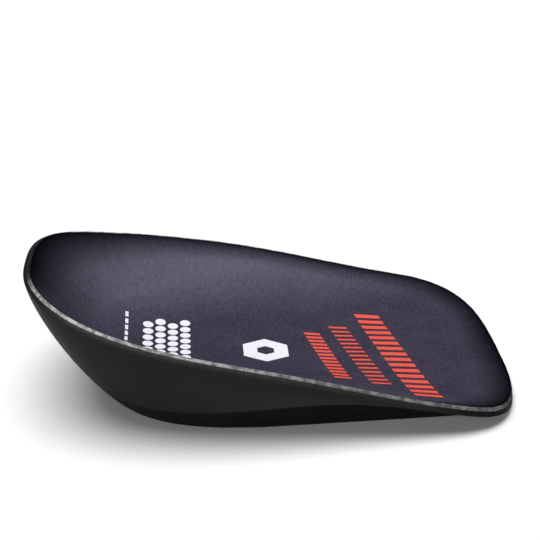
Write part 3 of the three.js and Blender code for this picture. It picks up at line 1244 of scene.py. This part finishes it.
@dataclass(frozen=True)
class TopCover:
    """The cloth bonded inside the cup, with its cut edge all round the rim."""

    shape: CupShape
    around: int = 360
    face_rings: int = 64
    back_rings: int = 20
    cut_rings: int = 4
    corner_steps: int = 4
    upper_round: float = 0.24 * MM
    lower_round: float = 0.1 * MM
    ragged: float = 0.13 * MM
    slow_waves_per_metre: float = 380
    fast_waves_per_metre: float = 1900
    wave_shares: tuple[float, float] = (0.55, 0.45)
    wave_shift: float = 0.7
    fray_inset: float = 0.35
    face_spread: float = 1.15
    edge_probe: float = 0.01
    roll_drop: float = 0.16 * MM
    roll_width: float = 2.2 * MM
    # Width of the painted shade at the rim, by degrees round it.
    rim_shade_widths: Pairs = (
        (0, 11 * MM),
        (35, 9.5 * MM),
        (65, 5.8 * MM),
        (90, 5 * MM),
        (125, 5 * MM),
        (160, 8 * MM),
        (200, 8 * MM),
        (235, 5 * MM),
        (270, 5 * MM),
        (315, 2.5 * MM),
        (345, 2.5 * MM),
        (360, 11 * MM),
    )
    rim_shade_power: float = 1.05
    # How much painted light each side of the walls gets, by degrees round the rim.
    lit_sides: Pairs = (
        (0, 0.2),
        (15, 0.45),
        (35, 1),
        (110, 1),
        (180, 0.7),
        (270, 0.5),
        (320, 0.12),
        (345, 0.1),
        (360, 0.2),
    )
    # Painted light and shade on the cut edge, by degrees round the rim.
    edge_lights: Pairs = (
        (0, 0.012),
        (28, 0.015),
        (45, 0.42),
        (67, 0.34),
        (90, 0.26),
        (104, 0.19),
        (150, 0.15),
        (163, 0.04),
        (180, 0.015),
        (197, 0.04),
        (210, 0.15),
        (256, 0.19),
        (270, 0.26),
        (293, 0.34),
        (324, 0.47),
        (340, 0.36),
        (347, 0.15),
        (352, 0.015),
        (360, 0.012),
    )

    def rings(self) -> tuple[list[np.ndarray], int, int]:
        """The rings of the cloth's skin, and where its cut edge starts and ends among them.

        Returns:
            The rings, and the numbers of the cut edge's first ring and of the first after it.
        """
        shape = self.shape
        turn = shape.even_turns(self.around)
        back_depth = shape.cover_thickness
        shares = 1 - (1 - np.linspace(0, 1, self.face_rings)) ** self.face_spread
        normal = shape.rim_normal(turn)
        upper = shape.cloth_edge(turn)
        lower = shape.under_cloth(turn, 1, back_depth)
        out = unit(upper - shape.cloth_point(turn, 1 - self.edge_probe))
        upper -= normal * self.roll_drop
        face = [self.rolled(turn, share) for share in shares[:-1]]
        cut = self.corner(upper, -out, -normal, self.upper_round)
        low_corner = self.corner(lower, normal, -out, self.lower_round)
        start, end = cut[-1], low_corner[0]
        cut += [mix(start, end, step / self.cut_rings) for step in range(1, self.cut_rings)]
        cut += low_corner
        cut = [self.fray(ring, out, index) for index, ring in enumerate(cut)]
        inwards = np.linspace(1, 0, self.back_rings)[1:]
        back = [shape.under_cloth(turn, share, back_depth) for share in inwards]
        return face + cut + back, len(face), len(face) + len(cut)

    def rolled(self, turn: np.ndarray, share: float) -> np.ndarray:
        """The cloth's face, which rolls down a little towards its cut edge.

        Args:
            turn: Places round the cup.
            share: The way from the middle line, 0, to the rim, 1.

        Returns:
            One point for each turn.
        """
        points = self.shape.cloth_point(turn, share)
        inset = np.linalg.norm(self.shape.cloth_edge(turn) - points, axis=-1)
        drop = self.roll_drop * np.clip(1 - inset / self.roll_width, 0, 1) ** 2
        return points - self.shape.cloth_normal(turn, share) * drop[:, None]

    def corner(
        self, tip: np.ndarray, first: np.ndarray, second: np.ndarray, radius: float
    ) -> list[np.ndarray]:
        """Rings of a rounded corner.

        Args:
            tip: The sharp corner, at each turn.
            first: From the tip, the way to the corner's start.
            second: From the tip, the way to the corner's end.
            radius: How round it is.

        Returns:
            The corner's rings.
        """
        rings = []
        for step in range(self.corner_steps + 1):
            angle = math.pi / 2 * step / self.corner_steps
            toward_first, toward_second = 1 - math.sin(angle), 1 - math.cos(angle)
            rings.append(tip + radius * (first * toward_first + second * toward_second))
        return rings

    def fray(self, ring: np.ndarray, out: np.ndarray, level: int) -> np.ndarray:
        """Makes a ring of the cut edge uneven, as cut cloth is.

        Args:
            ring: The ring's points.
            out: The way out of the cup at each point.
            level: The ring's number.

        Returns:
            The uneven ring.
        """
        uneven = ring.copy()
        slow_share, fast_share = self.wave_shares
        for place, point in enumerate(ring):
            spot = Vector(point)
            slow = noise.noise(spot * self.slow_waves_per_metre)
            fast = noise.noise(spot * self.fast_waves_per_metre + Vector((0, 0, level * self.wave_shift)))
            waves = slow_share * slow + fast_share * fast - self.fray_inset
            uneven[place] += out[place] * self.ragged * waves
        return uneven

    def read(self, table: Pairs) -> np.ndarray:
        """Values of a table of degrees and values, at each turn of the rim."""
        degrees, values = zip(*table)
        return np.interp(np.degrees(self.shape.even_turns(self.around)), degrees, values)

    def unrolled(self, rings: list[np.ndarray]) -> np.ndarray:
        """Flat coordinates of every point, measured along the cloth from the middle line.

        Args:
            rings: The rings of the cloth's skin.

        Returns:
            The coordinates, ring by ring.
        """
        stack = np.stack(rings)
        steps = np.linalg.norm(np.diff(stack, axis=0), axis=-1)
        along = np.concatenate([np.zeros((1, stack.shape[1])), np.cumsum(steps, axis=0)])
        turn = self.shape.even_turns(self.around)
        heading = unit((self.shape.cloth_edge(turn) - self.shape.middle(turn))[:, :2])
        return self.shape.middle(turn)[None, :, :2] + heading[None] * along[..., None]

    def build(self, cloth: bpy.types.Material, edge: bpy.types.Material) -> bpy.types.Object:
        """Makes the cover.

        Args:
            cloth: Material of its face and back.
            edge: Material of its cut edge.

        Returns:
            The closed cloth piece.
        """
        rings, cut_start, cut_end = self.rings()
        points, quads = skin(rings)
        mesh = bpy.data.meshes.new("cover_skin")
        mesh.from_pydata(points.tolist(), [], quads)
        piece = new_object("cloth_cover", mesh, cloth, edge)
        flat = self.unrolled(rings).reshape(-1, 2)
        corners = np.empty(len(mesh.loops), dtype=int)
        mesh.loops.foreach_get("vertex_index", corners)
        mesh.uv_layers.new(name="unrolled").data.foreach_set("uv", flat[corners].ravel())
        stack = np.stack(rings)
        inset = np.linalg.norm(stack - stack[cut_start][None], axis=-1)
        # Painted shade at the rim.
        rim_shaded = np.clip(1 - inset / self.read(self.rim_shade_widths), 0, 1) ** self.rim_shade_power
        paint(mesh, "painted_rim_shade", rim_shaded)
        # Painted light on the walls, by side.
        paint(mesh, "lit_side", np.tile(self.read(self.lit_sides), len(rings)))
        # Painted light and shade on the cut edge.
        paint(mesh, "edge_light", np.tile(self.read(self.edge_lights), len(rings)))
        levels = np.repeat(np.arange(len(rings) - 1), self.around)
        is_cut = (levels >= cut_start) & (levels < cut_end)
        mesh.polygons.foreach_set("material_index", is_cut.astype(int))
        mesh.polygons.foreach_set("use_smooth", np.ones(len(mesh.polygons), dtype=bool))
        work = bmesh.new()
        work.from_mesh(mesh)
        bmesh.ops.remove_doubles(work, verts=work.verts, dist=MERGE_WITHIN)
        bmesh.ops.dissolve_degenerate(work, dist=MERGE_WITHIN, edges=work.edges)
        bmesh.ops.recalc_face_normals(work, faces=work.faces)
        area = sum(face.calc_area() for face in work.faces) / 2
        slope = work.verts.layers.float.new("wall_slope")
        for vertex in work.verts:
            vertex[slope] = 1 - abs(vertex.normal.z)
        work.to_mesh(mesh)
        work.free()
        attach(piece, ROOT)
        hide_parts("top_cover")
        return piece


@dataclass(frozen=True)
class BarRow:
    """A row of slanted bars between two points of the cloth.

    Its sizes are in millimetres, and its ends are in plan, from the heel's tip on the middle line.
    """

    start: tuple[float, float]
    end: tuple[float, float]
    tall: float
    stroke: float
    gap: float
    slant: float = 0.28

    def outlines(self, heel: float) -> list[np.ndarray]:
        """The four corners of each bar.

        Args:
            heel: Where the heel's tip lies along the cup.

        Returns:
            The bars' corners, in plan.
        """
        start, end = (np.array([heel, 0]) + np.array(point) * MM for point in (self.start, self.end))
        run = np.linalg.norm(end - start)
        along = (end - start) / run
        across = np.array([-along[1], along[0]])
        tall, stroke, pitch = self.tall * MM, self.stroke * MM, self.stroke * MM + self.gap * MM
        shift, half, wide = along * self.slant * tall, across * tall / 2, along * stroke
        bars = []
        for index in range(int(run / pitch)):
            low = start + along * (index * pitch)
            corners = (low - half, low - half + wide, low + half + wide + shift, low + half + shift)
            bars.append(np.array(corners))
        return bars


@dataclass(frozen=True)
class PrintedMarks:
    """Plain printed marks that lie on the cloth, laid on it by Geometry Nodes.

    Places are in plan, from the heel's tip on the middle line.
    """

    lift: float = 0.02 * MM
    thickness: float = 0.05 * MM
    fineness: float = 0.8 * MM
    start_height: float = 50 * MM
    dots_start: tuple[float, float] = (24.2 * MM, -15 * MM)
    dot_columns: int = 4
    dot_rows: int = 10
    dot_pitch: float = 2.72 * MM
    dot_radius: float = 1.16 * MM
    dashes_start: tuple[float, float] = (19.2 * MM, -13.2 * MM)
    dashes: int = 11
    dash_pitch: float = 2.4 * MM
    dash_size: tuple[float, float] = (0.65 * MM, 1.7 * MM)
    hexagon_place: tuple[float, float] = (49.7 * MM, -1.1 * MM)
    hexagon_radius: float = 5.6 * MM
    hexagon_hole: float = 2.1 * MM
    disc_sides: int = 24
    disc_levels: int = 6
    bar_rows: tuple[BarRow, ...] = (
        BarRow(start=(73.8, 17.5), end=(81.8, -27), tall=5.4, stroke=1.5, gap=1.25),
        BarRow(start=(66.5, 11.4), end=(73.1, -19.4), tall=3.9, stroke=0.75, gap=1.3),
        BarRow(start=(60.4, 8.2), end=(65.2, -16.2), tall=3.4, stroke=0.95, gap=0.8),
    )

    def tree(self) -> bpy.types.NodeTree:
        """The Geometry Nodes tree that drops flat marks on the cloth.

        Returns:
            The tree, with the cloth and its sizes as named inputs.
        """
        inputs = {
            "Marks": "Geometry",
            "Cloth": "Object",
            "Start Height": "Float",
            "Lift": "Float",
            "Ink": "Material",
        }
        tree = ShapeTree("lay_on_cloth", inputs, "Laid")
        given = tree.given
        cloth = tree.add("GeometryNodeObjectInfo", {"Object": given["Cloth"]}).outputs["Geometry"]
        place = tree.add("GeometryNodeInputPosition").outputs[0]
        above = tree.add("ShaderNodeCombineXYZ", {2: given["Start Height"]}).outputs[0]
        cast = {
            "Target Geometry": cloth,
            "Source Position": tree.vector_math("ADD", place, above),
            "Ray Direction": (0, 0, -1),
            "Ray Length": 1.0,
        }
        hit = tree.add("GeometryNodeRaycast", cast).outputs
        lifted = {0: hit["Hit Normal"], "Scale": given["Lift"]}
        lift = tree.add("ShaderNodeVectorMath", lifted, operation="SCALE").outputs[0]
        landed = tree.vector_math("ADD", hit["Hit Position"], lift)
        moved = tree.step("GeometryNodeSetPosition", given["Marks"], {"Position": landed})
        return tree.finish(tree.step("GeometryNodeRealizeInstances", moved), given["Ink"])

    def strip(self, corners: np.ndarray) -> tuple[np.ndarray, list[tuple[int, ...]]]:
        """A four-cornered mark as a fine grid of quads.

        Args:
            corners: Its corners, in plan.

        Returns:
            Its points and faces.
        """
        sides = corners[[3, 1]] - corners[0]
        long_side = np.linalg.norm(sides, axis=1).max()
        steps = max(2, int(long_side / self.fineness) + 1)
        grid = []
        for row in range(steps + 1):
            left = mix(corners[0], corners[3], row / steps)
            right = mix(corners[1], corners[2], row / steps)
            grid += [mix(left, right, column / 2) for column in range(3)]
        faces = []
        for row in range(steps):
            for column in range(2):
                low = row * 3 + column
                faces.append((low, low + 1, low + 4, low + 3))
        return np.array(grid), faces

    def disc(self, place: tuple[float, float], radius: float, hole: float = 0.0) -> tuple[np.ndarray, list]:
        """A round mark, with or without a round hole.

        Args:
            place: Its centre, in plan.
            radius: Its radius.
            hole: The hole's radius.

        Returns:
            Its points and faces.
        """
        sides = self.disc_sides
        angles = 2 * math.pi * np.arange(sides) / sides
        across = np.stack([np.cos(angles), np.sin(angles)], axis=-1)
        if not hole:
            return np.array(place) + across * radius, [tuple(range(sides))]
        levels = np.linspace(radius, hole, self.disc_levels)
        points = np.concatenate([np.array(place) + across * level for level in levels])
        faces = []
        for low in range(0, sides * (self.disc_levels - 1), sides):
            for start in range(sides):
                following = (start + 1) % sides
                high = low + sides
                faces.append((low + start, low + following, high + following, high + start))
        return points, faces

    def lay(self, name: str, marks: list, ink: Ink, cover: bpy.types.Object) -> bpy.types.Object:
        """Lays marks of one ink on the cloth.

        Args:
            name: The piece's name.
            marks: Points and faces of each flat mark.
            ink: Which ink.
            cover: The cloth.

        Returns:
            The printed piece.
        """
        points, faces = [], []
        for corners, mark_faces in marks:
            start = len(points)
            points += [(x, y, 0) for x, y in corners]
            faces += [tuple(start + index for index in face) for face in mark_faces]
        mesh = bpy.data.meshes.new(name)
        mesh.from_pydata(points, [], faces)
        piece = new_object(name, mesh)
        modifier = piece.modifiers.new("lay_on_cloth", "NODES")
        modifier.node_group = self.tree()
        material = ink.value.build()
        values = {"Cloth": cover, "Start Height": self.start_height, "Lift": self.lift, "Ink": material}
        set_inputs(modifier, values)
        wall = piece.modifiers.new("thickness", "SOLIDIFY")
        wall.thickness = self.thickness
        wall.offset = 1
        apply_modifiers(piece)
        work = bmesh.new()
        work.from_mesh(piece.data)
        bmesh.ops.recalc_face_normals(work, faces=work.faces)
        work.to_mesh(piece.data)
        work.free()
        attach(piece, ROOT)
        return piece

    def hexagon(self, place: tuple[float, float], radius: float, hole: float) -> tuple[np.ndarray, list]:
        """A plain hexagon with a six-sided hole, finely divided so that it follows the cloth.

        Args:
            place: Its centre, in plan.
            radius: From its centre to a corner.
            hole: The same of its hole.

        Returns:
            Its points and faces.
        """
        points, faces = self.disc(place, radius, hole)
        offset = points - np.array(place)
        angle = np.arctan2(offset[:, 1], offset[:, 0])
        half = math.pi / 6
        sector = np.mod(angle + half, 2 * half) - half
        return np.array(place) + offset * (math.cos(half) / np.cos(sector))[:, None], faces

    def build(self, shape: CupShape, cover: bpy.types.Object) -> None:
        """Prints the marks: dots and dashes at the heel, a hexagon, and three slanted rows.

        Args:
            shape: The cup's shape, which says where the heel is.
            cover: The cloth.
        """
        heel = -shape.length / 2
        white = []
        for column in range(self.dot_columns):
            for row in range(self.dot_rows):
                x = heel + self.dots_start[0] + column * self.dot_pitch
                y = self.dots_start[1] + (row + 0.5 * (column % 2)) * self.dot_pitch
                white.append(self.disc((x, y), self.dot_radius))
        wide, long = self.dash_size
        for index in range(self.dashes):
            x = heel + self.dashes_start[0]
            y = self.dashes_start[1] + index * self.dash_pitch
            white.append(self.strip(np.array([[x, y], [x + wide, y], [x + wide, y + long], [x, y + long]])))
        x, y = self.hexagon_place
        white.append(self.hexagon((heel + x, y), self.hexagon_radius, self.hexagon_hole))
        self.lay("white_print", white, Ink.WHITE, cover)
        red = [self.strip(corners) for row in self.bar_rows for corners in row.outlines(heel)]
        self.lay("red_print", red, Ink.RED, cover)


def heading(turn: float, rise: float) -> Vector:
    """A direction, in degrees from the camera's side towards the toe and in degrees above the floor."""
    across, up = math.radians(turn), math.radians(rise)
    return Vector((math.sin(across) * math.cos(up), -math.cos(across) * math.cos(up), math.sin(up)))


@dataclass(frozen=True)
class Lamp:
    """A broad soft light that is even over the whole floor.

    Its strength is the share of full daylight on a surface that faces it.
    """

    name: str
    turn: float
    rise: float
    strength: float
    breadth: float = 50

    def build(self) -> None:
        """Adds the light."""
        data = bpy.data.lights.new(self.name, "SUN")
        data.energy = self.strength * math.pi
        data.angle = math.radians(self.breadth)
        light = new_object(self.name, data)
        light.rotation_euler = (-heading(self.turn, self.rise)).to_track_quat("-Z", "Y").to_euler()


@dataclass(frozen=True)
class Studio:
    """The camera, the plain floor and the soft lights."""

    camera_place: tuple[float, float, float] = (-11.99 * MM, -264.51 * MM, 134.96 * MM)
    camera_turn: float = -2.78
    camera_rise: float = 22.79
    camera_roll: float = -2.155
    focal_pixels: float = 1349
    picture_pixels: float = 540
    sensor: float = 36
    nearest: float = 0.01
    floor_size: float = 40
    floor_near: float = 0.12
    floor_sides: int = 96
    floor_gap: float = 0.01 * MM
    opening_inset: float = 1.2 * MM
    sky: float = 0.08
    lamps: tuple[Lamp, ...] = (
        Lamp("front", turn=-6, rise=10, strength=0.62),
        Lamp("overhead", turn=-105, rise=84, strength=0.99),
    )
    panel_place: tuple[float, float, float] = (0.1, -0.08, -0.35)
    panel_size: float = 0.3
    panel_watts: float = 3

    def add_camera(self) -> None:
        """Adds the camera at the photograph's angle."""
        data = bpy.data.cameras.new("camera")
        data.sensor_width = self.sensor
        data.lens = self.focal_pixels / self.picture_pixels * self.sensor
        data.clip_start = self.nearest
        camera = new_object("camera", data)
        back = heading(self.camera_turn, self.camera_rise)
        level = (-back).cross(Vector((0, 0, 1))).normalized()
        upright = level.cross(-back)
        roll = math.radians(self.camera_roll)
        right = level * math.cos(roll) + upright * math.sin(roll)
        up = upright * math.cos(roll) - level * math.sin(roll)
        turned = Matrix((right, up, back)).transposed().to_4x4()
        camera.matrix_world = Matrix.Translation(self.camera_place) @ turned
        bpy.context.scene.camera = camera

    def add_panel(self) -> None:
        """Adds a square light panel under the floor, which shines up through its opening."""
        data = bpy.data.lights.new("beneath", "AREA")
        data.shape = "SQUARE"
        data.size = self.panel_size
        data.energy = self.panel_watts
        light = new_object("beneath", data)
        light.location = self.panel_place
        light.rotation_euler = (math.pi, 0, 0)

    def add_floor(self, shape: CupShape) -> None:
        """Adds the floor, with an opening under the sole that the cup covers.

        Args:
            shape: The cup's shape.
        """
        turn = shape.even_turns(self.floor_sides)
        foot = shape.sole_outline(turn)
        away = np.stack([np.cos(turn + math.pi), -np.sin(turn + math.pi), np.zeros_like(turn)], axis=-1)
        opening = foot + unit(shape.middle(turn) - foot) * self.opening_inset
        points, quads = skin([opening, away * self.floor_near, away * self.floor_size / 2])
        points[:, 2] = -self.floor_gap
        mesh = bpy.data.meshes.new("floor")
        mesh.from_pydata(points.tolist(), [], quads)
        if mesh.polygons[0].normal.z < 0:
            mesh.flip_normals()
        new_object("floor", mesh, FloorFinish().build())

    def light(self) -> None:
        """Lights the cup from the front, from overhead, from all round and from beneath."""
        world = bpy.data.worlds.new("studio")
        world.use_nodes = True
        background = world.node_tree.nodes["Background"]
        background.inputs[0].default_value = (1, 1, 1, 1)
        background.inputs[1].default_value = self.sky
        bpy.context.scene.world = world
        for lamp in self.lamps:
            lamp.build()
        self.add_panel()
        bpy.context.scene.view_settings.view_transform = "Standard"


def main() -> None:
    """Builds the studio and the dressed cup."""
    logging.basicConfig(level=logging.INFO, format="%(message)s")
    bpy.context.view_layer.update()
    studio = Studio()
    studio.add_camera()
    studio.light()
    shape = CupShape.from_frame()
    studio.add_floor(shape)
    gel_cup = GelCup(shape).build()
    log.info("%s: %d faces", gel_cup.name, len(gel_cup.data.polygons))
    cover = TopCover(shape).build(ClothFinish().build(), CutEdgeFinish().build())
    log.info("%s: %d faces", cover.name, len(cover.data.polygons))
    PrintedMarks().build(shape, cover)


if __name__ == "__main__":
    main()
